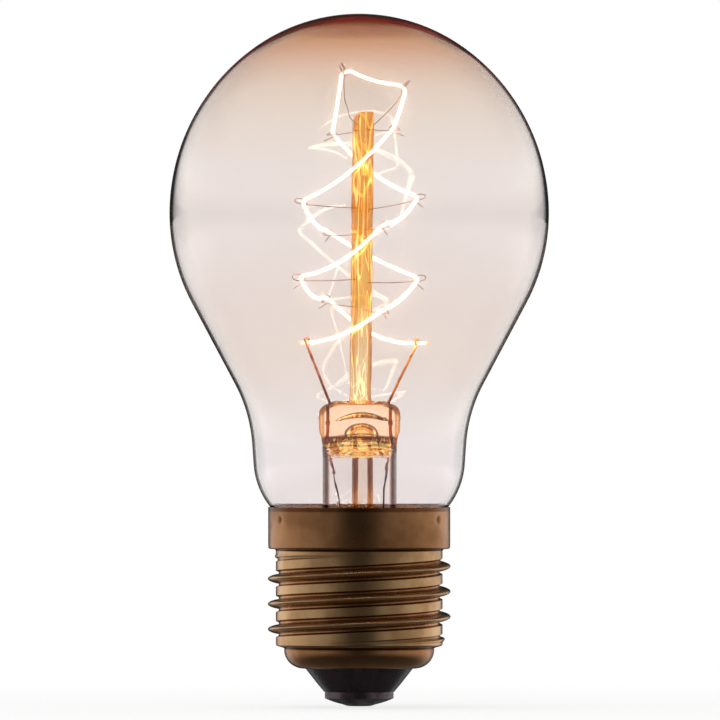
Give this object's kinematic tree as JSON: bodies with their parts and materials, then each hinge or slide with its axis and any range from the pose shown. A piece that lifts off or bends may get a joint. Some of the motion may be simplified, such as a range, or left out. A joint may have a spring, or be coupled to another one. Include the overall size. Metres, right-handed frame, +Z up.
{
  "type": "incandescent bulb",
  "caption": "Pear-shaped amber glass incandescent lamp with a screw cap and a coiled filament strung in a double spiral round a glass rod.",
  "frame": {"origin": "tip of the centre contact, on the lamp's axis", "axes": "+Z up the lamp's axis from the cap to the crown; -Y is the front, as pictured"},
  "size_m": [0.0546, 0.0546, 0.0996],
  "materials": {
    "envelope_glass": "clear blown glass, faintly amber",
    "cap_brass": "pressed brass, aged and satin",
    "insulator_glass": "black moulded glass, glossy",
    "contact_metal": "tarnished dark",
    "solder": "dull soft solder",
    "cement": "matt basing cement",
    "stem_glass": "clear drawn glass tube",
    "press_glass": "clear glass that glows orange from the filament",
    "lead_metal": "nickel-plated wire, warm in the glow",
    "seal_wire": "copper-clad wire, oxidised red",
    "outer_lead": "copper wire, dark",
    "filament": "coiled tungsten, glowing warm white",
    "support_wire": "thin molybdenum wire"
  },
  "bodies": {
    "root": {"glass_envelope": "envelope_glass", "screw_shell": "cap_brass", "base_insulator": "insulator_glass", "contact_plate": "contact_metal", "contact_solder": "solder", "rim_solder": "solder", "basing_cement": "cement", "stem_flare": "stem_glass", "stem_press": "press_glass", "exhaust_tube": "stem_glass", "centre_rod": "press_glass", "inner_lead_left": "lead_metal", "inner_lead_right": "lead_metal", "seal_wire_left": "seal_wire", "seal_wire_right": "seal_wire", "outer_lead_left": "outer_lead", "outer_lead_right": "outer_lead", "filament": "filament", "support_top_left": "support_wire", "support_top_right": "support_wire", "support_upper_front": "support_wire", "support_upper_back": "support_wire", "support_high_left": "support_wire", "support_high_right": "support_wire", "support_middle_front": "support_wire", "support_middle_back": "support_wire", "support_low_left": "support_wire", "support_low_right": "support_wire", "support_bottom_front": "support_wire", "support_bottom_back": "support_wire"}
  },
  "joints": []
}
